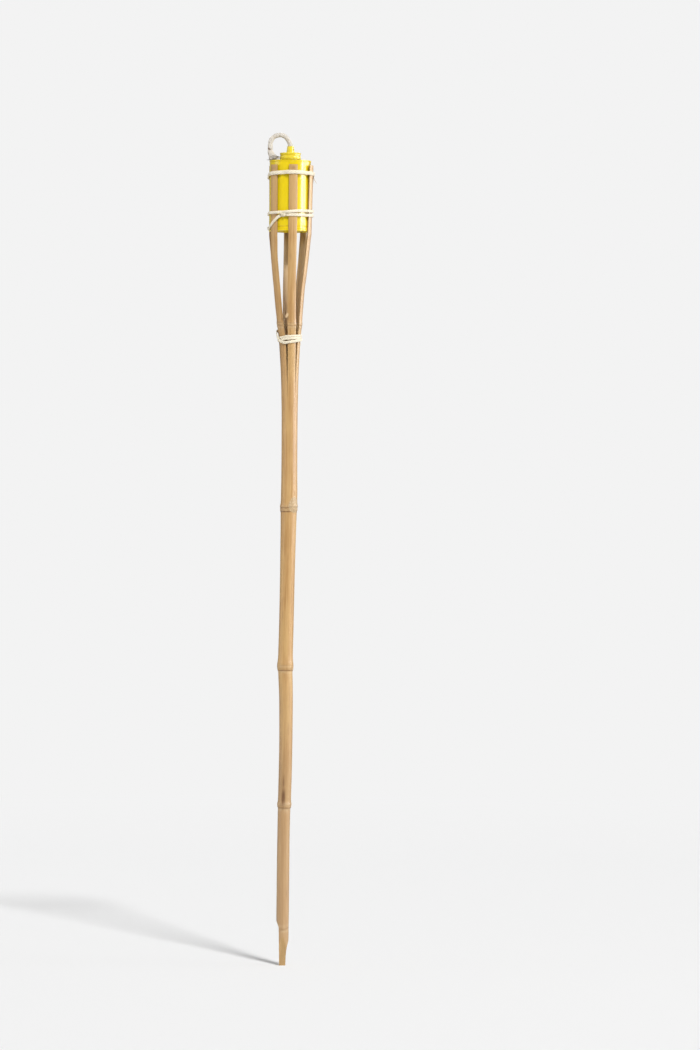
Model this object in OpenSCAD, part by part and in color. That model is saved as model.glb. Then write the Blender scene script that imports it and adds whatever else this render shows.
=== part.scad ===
// Bamboo garden torch: a culm split into six splints, a lift-out oil canister and a screw-on burner.
// Millimetres, +Z up. The origin is the middle of the flat end of the whittled tip.
// An azimuth of 0 is the front (-Y), and azimuths grow towards +X.

/* [Culm] */
// Height of the split end of the culm, where the splints begin
split_z = 830; // [826:1:834]
// Radius of the straight bottom internode
shank_r = 9.15; // [9:0.05:9.3]
// Radius of the culm where it splits
split_r = 12.2; // [12.1:0.05:12.4]
// Thickness of the bamboo wall
wall = 3.4; // [2.8:0.1:3.8]
// Width of the whittled tip at its flat end
tip_w = 9; // [8:0.5:10]

/* [Splints] */
// Height of the splints' upper ends
splint_top_z = 1167; // [1165:1:1170]
// Width of one splint
splint_w = 12.2; // [11.5:0.1:12.3]
// Thickness of a splint at its upper end
splint_t = 2.3; // [2:0.1:2.3]
// Radius of the node ridge that crosses the splints above the culm's own radius
ridge = 0.7; // [0.3:0.1:1]

/* [Ties] */
// Height of the cord's oval section
cord_h = 4.4; // [3.6:0.1:4.6]
// Thickness of the cord's oval section
cord_t = 1.8; // [1.6:0.1:2.2]

/* [Canister] */
// Outer radius of the can's wall
can_r = 30; // [29.7:0.1:30.1]
// Height of the can's lower end
can_z = 1071; // [1070:0.5:1072]
// Height of the can's upper rim
can_top_z = 1174.5; // [1174:0.1:1175]
// Thickness of the tinplate
sheet = 0.5; // [0.4:0.1:0.6]

/* [Burner] */
// Outer radius of the screw cap's beads
cap_r = 15.5; // [15.2:0.1:15.6]
// Thread pitch
pitch = 2.5; // [2.5:0.1:2.6]
// Diameter of the cotton wick
wick_d = 6.8; // [6.4:0.1:6.8]
// Height of the wick tube's mouth
tube_top_z = 1195.5; // [1195:0.5:1197]

/* [Hidden] */
$fn = 96;

BAMBOO = "burlywood";
CORD = "ivory";
YELLOW = "gold";

first_node_z = 234;
second_node_z = 434;
third_node_z = 669;
// Sideways bow of the centreline: height, offset along X
BOW = [[0, 0], [first_node_z, 0], [second_node_z, 0.5], [third_node_z, 2.8], [760, 2.9], [split_z, 2.4],
    [900, 1.7], [970, 0.3], [1000, 0], [1200, 0]];
// Nodes of the culm: height, radius of the internode below, radius of the internode above
CULM_NODES = [[first_node_z, shank_r, 9.4], [second_node_z, 10.1, 10.3], [third_node_z, 11.4, 11.5]];
// The internode above the first node stands this far to the right of its neighbours
crooked = 1;
diaphragm = 6;
lowest_node_z = 59;
// The straight shank starts above the lowest node, and the culm narrows a little below it
shank_foot_z = 69;
foot_r = shank_r - 0.25;
// Outer radius of the splint cage: height, radius
CAGE = [[split_z, split_r], [860, 12.9], [898, 14.9], [913, 15.8], [925, 17], [936, 18], [957, 19.7],
    [986, 22.2], [1000, 24.2], [1031, 28.8], [1050, 31.6], [1060, 33], [1066, 33.7], [1090, 33.9],
    [1130, 34.3], [1170, 34.7]];
cage_full_z = 1066;
splint_node_z = 934;
// Extra swell of one splint below the can: height, share
SWELL = [[913, 0], [936, 0.25], [986, 1], [1031, 0.9], [1060, 0.15], [1070, 0], [1200, 0]];
// Lean of a splint that stands off at its free end: height, distance outwards
LEAN = [[1000, 0], [1042, -0.7], [1060, -0.7], [1066, -0.2], [1078, -0.1], [1110, 0.2], [1170, 0.7]];
RING_Z = [split_z, 845, 860, 880, 898, 913, 925, 930, 934, 938, 947, 957, 970, 986, 1000, 1015, 1031,
    1042, 1050, 1060, 1066, 1078, 1090, 1110, 1130, 1150, splint_top_z];
// Splints: azimuth at the culm, azimuth at the can, swell, share of the lean, share of the width at the can
FRONT = [14, 9, 0.6, 0, 1];
RIGHT = [74, 68, 1.3, 1, 1];
REAR_RIGHT = [134, 141, 1, 0, 1];
REAR = [194, 184.5, 0.5, 0, 1];
REAR_LEFT = [254, 235, 0.3, 0, 1];
LEFT = [314, 315, 4, 0, 1.12];
SPLINTS = [FRONT, RIGHT, REAR_RIGHT, REAR, REAR_LEFT, LEFT];
splint_section_r = 14;

rim_r = can_r + 0.3;
neck_r = 12.2;
neck_top_z = can_top_z + 9.6;
seal_t = 1;
cap_top_z = neck_top_z + seal_t + 0.2 + sheet + 0.1;
cap_foot_z = can_top_z + 2.1;
cap_inner_r = 13.4;
tube_r = 4.4;
mouth_r = 4.8;
slot_az = 55;
slot_w = 1.6;
slot_h = 4.6;
wick_r = wick_d / 2;
// Centreline of the wick outside the tube: X, Y, Z
WICK_ROUTE = [[0, 0, tube_top_z], [-1, 0, 1200], [-3, 0, 1204], [-6, 0, 1208], [-10, 0, 1211], [-15, 0, 1212],
    [-21, 0, 1211], [-25.5, 0, 1208], [-28.3, -1, 1204], [-29.4, -1, 1199], [-29.4, -2, 1194],
    [-29, -2, 1189], [-27.8, -3, 1184], [-26, -3, 1180], [-25, -3, 1178]];

function smooth(t) = let (c = min(1, max(0, t))) c * c * (3 - 2 * c);
function polar(az, r) = [r * sin(az), -r * cos(az)];
function bow(z) = lookup(z, BOW);
function cage_r(z, swell = 0) = lookup(z, CAGE) + swell * lookup(z, SWELL);
function unit(v) = v / norm(v);

// Closed surface through rings of points, each ring counter-clockwise about the way it is swept
module skin(rings, closed = false) {
    n = len(rings[0]);
    m = len(rings);
    sides = [for (i = [0:m - (closed ? 1 : 2)]) for (j = [0:n - 1])
        let (
            here = i * n,
            above = (i + 1) % m * n,
            beside = (j + 1) % n
        )
        each [[here + j, above + beside, here + beside], [here + j, above + j, above + beside]]];
    ends = closed ? [] : [[for (j = [0:n - 1]) j], [for (j = [n - 1:-1:0]) (m - 1) * n + j]];
    polyhedron([for (ring = rings) each ring], concat(sides, ends), convexity = 8);
}

// ---- Bamboo ----

// Straight internode between two heights, shifted sideways by aside
module internode(z0, z1, r0, r1, aside = 0) {
    translate([bow(z0) + aside, 0, z0])
        rotate([0, atan2(bow(z1) - bow(z0), z1 - z0), 0])
            cylinder(h = z1 - z0, r1 = r0, r2 = r1);
}

// Swollen ring where two internodes meet: a sheath scar below and a ridge above
module node_ring(z, r0, r1) {
    translate([bow(z), 0, z])
        rotate_extrude()
            polygon([[0, -6], [r0 - 0.2, -6], [r0 + 0.3, -3], [r0 + 1, -1], [r0 + 0.4, -0.3],
                [r1 + 1, 1.2], [r1 + 0.9, 2.6], [r1 + 0.2, 5.5], [r1 - 0.2, 7], [0, 7]]);
}

module culm_outside() {
    cylinder(h = shank_foot_z, r1 = foot_r, r2 = shank_r);
    translate([0, 0, shank_foot_z]) cylinder(h = first_node_z - shank_foot_z, r = shank_r);
    internode(first_node_z, second_node_z, 9.4, 10.1, crooked);
    internode(second_node_z, third_node_z, 10.3, 11.4);
    internode(third_node_z, split_z + 1, 11.5, split_r);
    for (n = CULM_NODES) node_ring(n[0], n[1], n[2]);
}

module culm_hollows() {
    translate([0, 0, lowest_node_z + diaphragm])
        cylinder(h = first_node_z - lowest_node_z - 2 * diaphragm, r = shank_r - wall);
    internode(first_node_z + diaphragm, second_node_z - diaphragm, 9.4 - wall, 10.1 - wall, crooked);
    internode(second_node_z + diaphragm, third_node_z - diaphragm, 10.3 - wall, 11.4 - wall);
    internode(third_node_z + diaphragm, split_z + 2, 11.5 - wall, split_r - wall);
}

// What is whittled off the left, the right, the front and the back of the tip
module tip_cuts() {
    half = tip_w / 2;
    rotate([90, 0, 0])
        linear_extrude(40, center = true) {
            polygon([[-half, -1], [-half - 0.6, 38], [-5.6, 54], [-9.4, 68], [-20, 68], [-20, -1]]);
            polygon([[half, -1], [half + 1, 20], [shank_r, 42], [20, 42], [20, -1]]);
        }
    rotate([90, 0, 90])
        linear_extrude(40, center = true)
            for (side = [-1, 1])
                polygon([[side * (half - 0.5), -1], [side * (half + 1), 20], [side * shank_r, 46],
                    [side * 20, 46], [side * 20, -1]]);
}

module culm() {
    color(BAMBOO)
        difference() {
            culm_outside();
            culm_hollows();
            tip_cuts();
            translate([-20, -20, split_z]) cube([40, 40, 20]);
        }
}

// Section of a splint at one height: a piece of tube wall that flattens a little as it leaves the culm
function splint_ring(s, z) =
    let (
        spread = smooth((z - split_z) / (cage_full_z - split_z)),
        az = s[0] + (s[1] - s[0]) * smooth((z - 880) / (cage_full_z - 880)),
        width = splint_w * (1 + (s[4] - 1) * spread),
        ridge_here = ridge * max(0, 1 - abs(z - splint_node_z) / 6),
        shelf = 2 * max(0, 1 - abs(z - splint_node_z) / 4),
        section_r = split_r + (splint_section_r - split_r) * spread,
        thick = wall + (splint_t - wall) * spread,
        half = asin(width / 2 / section_r) - 0.6,
        out_r = cage_r(z, s[2]) + s[3] * lookup(z, LEAN) + ridge_here,
        mid = out_r - section_r - ridge_here,
        arc = [for (k = [0:5]) -half + 2 * half * k / 5],
        outer = [for (a = arc) polar(az, mid) + polar(az + a, section_r + ridge_here)],
        inner = [for (k = [5:-1:0]) polar(az, mid) + polar(az + arc[k], section_r - thick - shelf)]
    )
    [for (p = concat(outer, inner)) [p[0] + bow(z), p[1], z]];

module splint(s) {
    color(BAMBOO)
        skin([for (z = RING_Z) splint_ring(s, z)]);
}

// ---- Cord ties ----

// Ring of the cord's oval section: azimuth, radius and height of its centre, shares of its height and depth
function cord_ring(p) =
    [for (k = [0:7])
        let (a = 45 * k, r = p[1] + p[4] * cord_t / 2 * sin(a), xy = polar(p[0], r))
        [xy[0] + bow(p[2]), xy[1], p[2] + p[3] * cord_h / 2 * cos(a)]];

// Distance of the cord's centre from the axis: over a splint's face, or straight across a gap
function gap_to(az, s) = let (d = abs(az - s[1]) % 360) min(d, 360 - d);
function nearest(az) = min([for (s = SPLINTS) gap_to(az, s)]);
function lean_out(az, z) =
    max([for (s = SPLINTS) s[3] * lookup(z, LEAN) * (1 - smooth((gap_to(az, s) - 20) / 15))]);
function over_head(az, z) =
    let (face = cage_r(z) + lean_out(az, z) + cord_t / 2 + 0.3, away = nearest(az))
    max(face - 0.3 * smooth((away - 3) / 8) - 3 * smooth((away - 13) / 12), can_r + cord_t / 2 + 0.75);

upper_mid_z = 1153.1;
upper_slant = 3.2;
upper_high_az = 15;
// Two turns that lie half on each other
upper_share = 1.3;

module upper_tie() {
    color(CORD)
        union() {
            skin([for (k = [0:47])
                let (az = 7.5 * k, z = upper_mid_z + upper_slant * cos(az - upper_high_az))
                cord_ring([az, over_head(az, z), z, upper_share, 1])], closed = true);
            knot(162, 33.4, 1149.5);
        }
}

// Small overhand knot
module knot(az, r, z) {
    skin([for (k = [-3:3])
        let (bulge = 1.6 * sqrt(1 - pow(k / 3.4, 2)))
        cord_ring([az + 2.6 * k, r + 1, z - 0.3 * k, bulge, 2 * bulge])]);
}

// Middle tie: one cord twice round the head, level and then slanting: azimuth, height, lift over itself
MIDDLE_WRAP = [[-15, 1094.1, 0], [68, 1094.1, 0], [141, 1094.5, 0], [184, 1095.5, 0], [246, 1096.7, 0],
    [315, 1097.3, 0.2], [330, 1097.5, 0.8], [345, 1097.8, 1.2], [360, 1098.5, 1], [376, 1099.5, 0.2],
    [405, 1100.3, 0], [428, 1100.5, 0], [465, 1100.1, 0], [484, 1099.3, 0.5], [501, 1097.9, 1.1],
    [522, 1094.5, 1.2], [538, 1091, 0.8], [552, 1088.5, 0], [575, 1082.5, 0], [606, 1077.5, 0],
    [635, 1076, 0], [660, 1079.5, 0], [675, 1084.5, 0], [690, 1089, 0], [705, 1094.1, 0]];
WRAP_HEIGHT = [for (w = MIDDLE_WRAP) [w[0], w[1]]];
WRAP_LIFT = [for (w = MIDDLE_WRAP) [w[0], w[2]]];
middle_knot_az = -15;

module middle_tie() {
    color(CORD)
        union() {
            skin([for (k = [0:95])
                let (az = middle_knot_az + 7.5 * k, z = lookup(az, WRAP_HEIGHT))
                cord_ring([az, over_head(az, z) + cord_t * lookup(az, WRAP_LIFT), z, 1, 1])], closed = true);
            knot(middle_knot_az, 32.7, 1095.8);
        }
}

// Lower tie: two tight turns side by side, as wide as tight_share cords, and a slack one that slants across
// the bundle and stands off on its left
TIGHT_TURN = [[0, 916.3], [14, 916.6], [74, 917.4], [134, 917], [180, 915], [254, 913.5], [314, 914.5],
    [360, 916.3]];
SLACK_TURN = [[0, 909.8], [14, 910.4], [74, 912.8], [134, 915], [180, 920], [220, 924.5], [254, 926],
    [275, 923], [295, 916], [314, 910.5], [340, 908.6], [360, 909.8]];
tight_share = 1.6;
SLACK_LIFT = [[0, 0.1], [74, 0.1], [110, 0.8], [134, 1.2], [170, 1.1], [200, 0.3], [254, 0.3], [280, 0.6],
    [292, 1.2], [312, 1.2], [330, 0.4], [360, 0.1]];

function over_bundle(z) = cage_r(z) + cord_t / 2 + 0.3;

module lower_tie() {
    color(CORD)
        union() {
            skin([for (k = [0:35]) let (az = 10 * k, z = lookup(az, TIGHT_TURN))
                cord_ring([az, over_bundle(z), z, tight_share, 1])], closed = true);
            skin([for (k = [0:35]) let (az = 10 * k, z = lookup(az, SLACK_TURN))
                cord_ring([az, over_bundle(z) + cord_t * lookup(az, SLACK_LIFT), z, 1, 1])], closed = true);
            knot(150, 18, 916.5);
        }
}

// ---- Canister ----

module can_body() {
    foot = can_z + 3;
    head = can_top_z - 2.5;
    groove_z = can_z + 6.2;
    inner_r = can_r - sheet;
    color(YELLOW)
        rotate_extrude()
            polygon([[inner_r, foot], [can_r, foot], [can_r, groove_z - 1.6], [can_r - 0.3, groove_z],
                [can_r, groove_z + 1.6], [can_r, head], [inner_r, head], [inner_r, groove_z + 1.6],
                [inner_r - 0.3, groove_z], [inner_r, groove_z - 1.6]]);
}

// End plate with its rolled seam, set in from the lower edge
module can_bottom() {
    color(YELLOW)
        rotate_extrude()
            polygon([[0, can_z + 2], [can_r - 2, can_z + 2], [can_r - 1.4, can_z + 0.3], [can_r - 0.9, can_z],
                [rim_r - 0.4, can_z], [rim_r, can_z + 0.5], [rim_r, can_z + 2.6], [rim_r - 0.4, can_z + 3],
                [can_r - sheet - 0.4, can_z + 3], [can_r - 1.6, can_z + 2.6], [0, can_z + 2.6]]);
}

// Shoulder with its rolled seam, rising to the flat round the filler hole
module can_top() {
    seam_foot = can_top_z - 2.5;
    color(YELLOW)
        rotate_extrude()
            polygon([[neck_r - 0.6, can_top_z + 0.6], [15, can_top_z + 0.6], [26, can_top_z - 0.7],
                [can_r - 1.6, can_top_z - 1.4], [can_r - 1.1, can_top_z - 0.2], [can_r - 0.7, can_top_z],
                [rim_r - 0.2, can_top_z], [rim_r + 0.1, can_top_z - 0.4], [rim_r + 0.1, seam_foot + 0.4],
                [rim_r - 0.2, seam_foot], [can_r - sheet - 0.4, seam_foot], [can_r - 2, can_top_z - 2],
                [26, can_top_z - 1.3], [15, can_top_z], [neck_r - 0.6, can_top_z]]);
}

// Screw thread ridge standing on a wall: radius of its root, of its crest, start height and turns
module thread(root_r, crest_r, z0, turns, phase) {
    steps = 24 * turns;
    out = crest_r > root_r ? 1 : -1;
    skin([for (k = [0:steps])
        let (
            az = 15 * k + phase,
            z = z0 + pitch * (k / 24),
            fade = min(1, min(k, steps - k) / 4),
            crest = root_r + (crest_r - root_r) * fade,
            root = root_r - 0.2 * out,
            ring = [[root, z + 0.6], [crest, z + 0.25], [crest, z - 0.25], [root, z - 0.6]]
        )
        [for (j = [0:3]) let (q = ring[out > 0 ? j : 3 - j]) [q[0] * cos(az), q[0] * sin(az), q[1]]]]);
}

module filler_neck() {
    foot = can_top_z + 0.6;
    color(YELLOW)
        union() {
            rotate_extrude()
                polygon([[neck_r - 0.6, foot], [14.4, foot], [14.4, foot + sheet], [neck_r, foot + sheet],
                    [neck_r, neck_top_z], [neck_r - 0.6, neck_top_z]]);
            thread(neck_r, neck_r + 0.8, foot + 2.6, 2, 0);
        }
}

// ---- Burner ----

module cap_gasket() {
    color("dimgray")
        translate([0, 0, neck_top_z + 0.1])
            difference() {
                cylinder(h = seal_t, r = cap_inner_r - 0.2);
                translate([0, 0, -1]) cylinder(h = seal_t + 2, r = 8);
            }
}

module burner_cap() {
    groove_r = cap_r - 0.7;
    plate_z = neck_top_z + seal_t + 0.2;
    color(YELLOW)
        union() {
            difference() {
                rotate_extrude()
                    polygon([[0, cap_foot_z], [cap_r - 0.2, cap_foot_z], [cap_r, cap_foot_z + 0.4],
                        [groove_r, cap_foot_z + 1.4], [groove_r, cap_foot_z + 1.8],
                        [cap_r - 0.1, cap_foot_z + 2.6], [cap_r - 0.1, cap_foot_z + 3.8],
                        [groove_r - 0.1, cap_foot_z + 4.8], [groove_r - 0.1, cap_foot_z + 5.6],
                        [cap_r, cap_foot_z + 6.6], [cap_r, cap_top_z - 1], [cap_r - 0.8, cap_top_z],
                        [0, cap_top_z]]);
                translate([0, 0, cap_foot_z - 1]) cylinder(h = plate_z - cap_foot_z + 1, r = cap_inner_r);
                cylinder(h = cap_top_z + 1, r = tube_r + 0.1);
            }
            thread(cap_inner_r, cap_inner_r - 0.8, cap_foot_z + 2.35, 2, 0);
        }
}

// Conical mouthpiece, its shank through the cap and the crimped collar under the cap's plate
module wick_tube() {
    plate_z = neck_top_z + seal_t + 0.2;
    bore = wick_r + 0.15;
    collar_r = 6.4;
    color(YELLOW)
        difference() {
            rotate_extrude()
                polygon([[bore, plate_z - 5], [tube_r, plate_z - 5], [tube_r, plate_z - 0.6],
                    [collar_r, plate_z - 0.6], [collar_r, plate_z], [tube_r, plate_z], [tube_r, cap_top_z],
                    [6.1, cap_top_z], [5.8, cap_top_z + 0.7], [5.6, cap_top_z + 2], [mouth_r, tube_top_z],
                    [bore, tube_top_z]]);
            rotate([0, 0, slot_az])
                translate([-slot_w / 2, -8, cap_top_z + 1.6])
                    cube([slot_w, 8, slot_h]);
        }
}

module wick_stem() {
    color(CORD)
        translate([0, 0, can_z + 8])
            cylinder(h = tube_top_z - can_z - 8, r = wick_r);
}

// Ring of the wick's round section across its route
function wick_ring(k) =
    let (
        last = len(WICK_ROUTE) - 1,
        along = k == 0 ? [0, 0, 1] : unit(WICK_ROUTE[min(k + 1, last)] - WICK_ROUTE[k - 1]),
        side = unit([0, 1, 0] - along * along[1]),
        up = cross(along, side)
    )
    [for (j = [0:11]) WICK_ROUTE[k] + wick_r * (cos(30 * j) * side + sin(30 * j) * up)];

module wick_loop() {
    color(CORD)
        skin([for (k = [0:len(WICK_ROUTE) - 1]) wick_ring(k)]);
}

culm();
splint(FRONT);  // front_splint
splint(RIGHT);  // right_splint
splint(REAR_RIGHT);  // rear_right_splint
splint(REAR);  // rear_splint
splint(REAR_LEFT);  // rear_left_splint
splint(LEFT);  // left_splint
lower_tie();
middle_tie();
upper_tie();
can_body();
can_bottom();
can_top();
filler_neck();
cap_gasket();
burner_cap();
wick_tube();
wick_stem();
wick_loop();
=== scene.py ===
"""Looks of the bamboo garden torch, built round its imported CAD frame.

Shapes are worked out in millimetres with azimuths in degrees, as in the CAD source: an azimuth of 0 is
the front (-Y), and azimuths grow towards +X. `piece` turns them into metres.
"""

import bisect
import random
from math import asin, ceil, cos, degrees, exp, pi, radians, sin, sqrt

import bmesh
import bpy
from mathutils import Matrix, Vector, noise


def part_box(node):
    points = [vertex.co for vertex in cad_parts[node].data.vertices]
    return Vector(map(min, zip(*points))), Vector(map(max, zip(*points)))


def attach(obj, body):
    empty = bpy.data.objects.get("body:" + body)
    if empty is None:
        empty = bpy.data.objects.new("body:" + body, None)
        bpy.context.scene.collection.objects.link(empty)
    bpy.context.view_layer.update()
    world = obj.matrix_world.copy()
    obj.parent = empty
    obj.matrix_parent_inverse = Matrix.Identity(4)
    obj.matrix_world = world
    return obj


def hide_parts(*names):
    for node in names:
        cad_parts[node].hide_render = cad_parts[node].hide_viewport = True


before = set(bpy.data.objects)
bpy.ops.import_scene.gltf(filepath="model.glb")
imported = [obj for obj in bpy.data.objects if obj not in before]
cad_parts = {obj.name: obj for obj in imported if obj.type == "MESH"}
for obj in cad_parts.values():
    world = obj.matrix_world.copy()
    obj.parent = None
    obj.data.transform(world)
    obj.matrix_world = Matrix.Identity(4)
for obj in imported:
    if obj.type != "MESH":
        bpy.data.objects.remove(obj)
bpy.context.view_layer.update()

MM = 0.001
EDGE_ANGLE = radians(38)
UP = Vector((0, 0, 1))


def low(node):
    """Lowest corner of a CAD node, in millimetres."""
    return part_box(node)[0] / MM


def high(node):
    """Highest corner of a CAD node, in millimetres."""
    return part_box(node)[1] / MM


# ---- Sizes: those of the frame, and the shape rules that the CAD source uses ----

SPLIT_Z = high("culm").z
SPLINT_TOP_Z = high("front_splint").z
CAN_R = high("can_body").x
CAN_Z = low("can_bottom").z
SEAM_H = 2.5
CAN_TOP_Z = high("can_body").z + SEAM_H
RIM_R = high("can_bottom").x
NECK_TOP_Z = high("filler_neck").z
CAP_FOOT_Z = low("burner_cap").z
CAP_TOP_Z = high("burner_cap").z
CAP_R = high("burner_cap").x
MOUTH_Z = high("wick_tube").z
SHEET = 0.5
PITCH = 2.5
NECK_R = 12.2
NECK_BORE_R = NECK_R - 0.6
NECK_FOOT_Z = CAN_TOP_Z + 0.6
NECK_FLANGE_R = 14.4
CAP_INNER_R = 13.4
# Foot of the cap's top plate, which the wick tube is crimped to
CAP_PLATE_Z = CAP_TOP_Z - SHEET - 0.1
TUBE_R = 4.4
MOUTH_R = 4.8
WICK_D = 6.8

SPLIT_R = 12.2
WALL = 3.4
SPLINT_W = 12.2
SPLINT_T = 2.3
# Extra width of the splints once they stand clear of each other, and where it comes in
SPLINT_SPREAD = 0.9
SPREAD_FOOT_Z = 885
SPREAD_REACH = 45
# Where the splints start to turn from their azimuth at the culm to their azimuth at the can
SPLINT_TURN_Z = 880
SPLINT_SECTION_R = 14
CAGE_FULL_Z = 1066
SPLINT_NODE_Z = 934
SPLINT_RIDGE = 0.7
LOWEST_NODE_Z = 59

# Internodes of the culm: foot height, head height, foot radius, head radius
INTERNODES = ((0, 69, 8.9, 9.15), (69, 234, 9.15, 9.15), (234, 434, 9.4, 10.1), (434, 669, 10.3, 11.4),
              (669, SPLIT_Z, 11.5, SPLIT_R))
NODE_HEIGHTS = (234, 434, 669)
# Rise of each node over its internodes: height from the node, rise
NODE_RISE = {
    234: ((-6, 0), (-4, 0.25), (-2.9, 0.95), (0.5, 1.1), (3, 0.7), (6, 0.15), (11, 0)),
    434: ((-8, 0), (-4.4, 0.2), (-3, 0.8), (2, 1.1), (6, 1), (11, 0.4), (20, 0)),
    669: ((-10, 0), (-6.6, 0.3), (-5, 0.9), (-2, 0.9), (-0.6, 0.8), (1, 1.2), (3, 0.8), (6, 0.25), (12, 0)),
    934: ((-6, 0), (-1.5, 0.8), (-0.4, 0.5), (1.5, 1), (4, 0.8), (7, 0.2), (12, 0)),
}
# Dark lines round the nodes, where the sheaths were fast: height from the node, strength
NODE_LINES = {
    59: ((-2.5, 0.45),),
    234: ((-3.7, 0.4),),
    434: ((-3.8, 0.75), (3.4, 0.2)),
    669: ((-0.5, 0.8), (-5.9, 1)),
    934: ((-0.4, 0.55), (4, 0.4)),
}
# Branch scars: node height, azimuth. Each reaches a turn to both sides, and a height up and down.
BRANCH_SCARS = ((669, 42), (434, 240), (234, 120))
SCAR_REACH = 45
SCAR_UP = 14
SCAR_DOWN = 9.5
# Swell of the culm over straight internodes: height, rise
FLARE = ((0, 0), (150, 0), (183, -0.15), (200, -0.1), (226, 0), (240, 0.1), (280, 0.1), (330, -0.1), (390, 0),
         (425, 0.3), (440, 0.35), (452, 0.3), (480, 0.1), (560, -0.1), (640, 0.1), (657, 0.3), (685, 0.35),
         (710, 0), (750, -0.3), (800, -0.4), (822, -0.2), (830, 0))
# Sideways bow of the centreline: height, offset along X
BOW = ((0, 0), (170, 0), (224, 0.5), (245, 1), (290, 1.8), (330, 2.1), (387, 1.8), (415, 0.9), (434, 0.2),
       (504, 1.2), (669, 2.9), (690, 3.2), (760, 2.9), (830, 2.5), (900, 1.8), (970, 0.3), (1000, 0),
       (1200, 0))
# Outer radius of the splint cage: height, radius
CAGE = ((830, 12.2), (860, 12.9), (898, 14.9), (913, 15.8), (925, 17), (936, 18), (957, 19.7), (986, 22.2),
        (1000, 24.2), (1031, 28.8), (1050, 31.6), (1060, 33), (1066, 33.7), (1090, 33.9), (1130, 34.3),
        (1170, 34.7))
# Extra swell of one splint below the can: height, share
SWELL = ((905, 0), (936, 0.5), (986, 1), (1031, 0.9), (1060, 0.15), (1070, 0), (1200, 0))
# Lean of a splint that stands off at its free end: height, distance outwards
LEAN_OUT = ((1000, 0), (1042, -0.7), (1060, -0.7), (1066, -0.2), (1078, -0.1), (1110, 0.2), (1170, 0.7))
# Splints: azimuth at the culm, azimuth at the can, swell, share of the lean, share of the width at the can
SPLINTS = {
    "front_splint": (14, 9, 0.6, 0, 1),
    "right_splint": (74, 68, 1.3, 1, 1),
    "rear_right_splint": (134, 141, 1, 0, 1),
    "rear_splint": (194, 184.5, 0.5, 0, 1),
    "rear_left_splint": (254, 235, 0.3, 0, 1),
    "left_splint": (314, 315, 4, 0, 1.06),
}
# Stains on the bamboo's skin, and the painted shadow under the torn curl of the front splint at azimuth -17,
# height 943.5: azimuth on the whole culm, height, half width, half height, strength
STAINS_AND_SHADOW = ((-11, 246, 3.8, 13, 1.3), (-14, 267, 2.6, 11, 0.85), (-28, 262, 9, 36, 0.3), (-8, 27, 1, 2.6, 1),
          (14, 1163.5, 3.4, 1.8, 0.6), (314, 1163, 4, 3, 0.35), (5, 901, 1, 1.2, 0.6),
          (0.5, 1032.7, 1.2, 1.4, 0.9), (-17, 943.5, 1.6, 2.6, 1.1), (60, 590, 1.2, 4, 0.4),
          (-30, 512, 1.5, 3, 0.35), (20, 346, 1.2, 5, 0.4), (200, 700, 3, 12, 0.5), (150, 300, 2.5, 16, 0.5),
          (-50, 760, 1, 3, 0.4), (100, 130, 2, 8, 0.4), (35, 105, 1, 4, 0.3))

CORD_H = 4.4
CORD_T = 1.5
# Centreline of the wick outside the tube
WICK_ROUTE = ((0, 0, MOUTH_Z), (-1, 0, 1200), (-3, 0, 1204), (-6, 0, 1208), (-10, 0, 1211), (-15, 0, 1212),
              (-21, 0, 1211), (-25.5, 0, 1208), (-28.3, -1, 1204), (-29.4, -1, 1199), (-29.4, -2, 1194),
              (-29.4, -2, 1189), (-28, -3, 1184), (-26, -3, 1180), (-25, -3, 1178))
# The crease where the wick turns under
WICK_CREASE_Z = 1190.5
# The wick's loose end swells into a brush: from where along it, over how much of it, and by what share
BRUSH_START = 0.68
BRUSH_REACH = 0.32
BRUSH_SWELL = 0.6

# Heights in metres between which a tone comes in, from none to full: the duller, darker foot of the pole; the
# painted light that pales the inner faces of the cage from their foot, and from their head, where it gives
# way to painted shadow under the can; and the lemon painted reflection on the top of the can and burner
DULL_FOOT = (0.55, 0.1)
PAINTED_LIGHT_FROM_FOOT = (0.9, 0.95)
PAINTED_LIGHT_FROM_HEAD = (1.066, 1.046)
LEMON_SHEEN = (1.174, 1.178)
# Cut value of a splint's split edges. Their inner faces have 1, and only they are paled by painted light.
SPLIT_EDGE_CUT = 0.9


def smooth(t):
    """Eased step from 0 to 1."""
    c = min(1, max(0, t))
    return c * c * (3 - 2 * c)


def hump(t):
    """Soft bump of height 1 at t = 0 that is nearly gone at t = 2."""
    return exp(-t * t)


def noise_at(x, y, z):
    """Smooth noise from -1 to 1, the same in every run."""
    return noise.noise(Vector((x, y, z)))


def noise_round(az, scale, z):
    """Smooth noise round the axis, which meets itself after a whole turn."""
    a = radians(az)
    return noise_at(scale * sin(a), scale * cos(a), z)


def on_curve(table, place):
    """Value at a place on a smooth curve through a table's (place, value) rows, with no overshoot."""
    if place <= table[0][0]:
        return table[0][1]
    if place >= table[-1][0]:
        return table[-1][1]
    k = bisect.bisect_right([row[0] for row in table], place) - 1

    def secant(i):
        return (table[i + 1][1] - table[i][1]) / (table[i + 1][0] - table[i][0])

    def slope(i):
        if i == 0 or i == len(table) - 1:
            return 0
        before = secant(i - 1)
        after = secant(i)
        return 0 if before * after <= 0 else 2 * before * after / (before + after)

    width = table[k + 1][0] - table[k][0]
    t = (place - table[k][0]) / width
    return (table[k][1] * (1 + 2 * t) * (1 - t) ** 2 + table[k + 1][1] * t * t * (3 - 2 * t)
            + width * (slope(k) * t * (1 - t) ** 2 - slope(k + 1) * t * t * (1 - t)))


def polar(az, r, z=0):
    """Point at an azimuth and a radius."""
    a = radians(az)
    return Vector((r * sin(a), -r * cos(a), z))


def bow(z):
    return on_curve(BOW, z)


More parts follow.
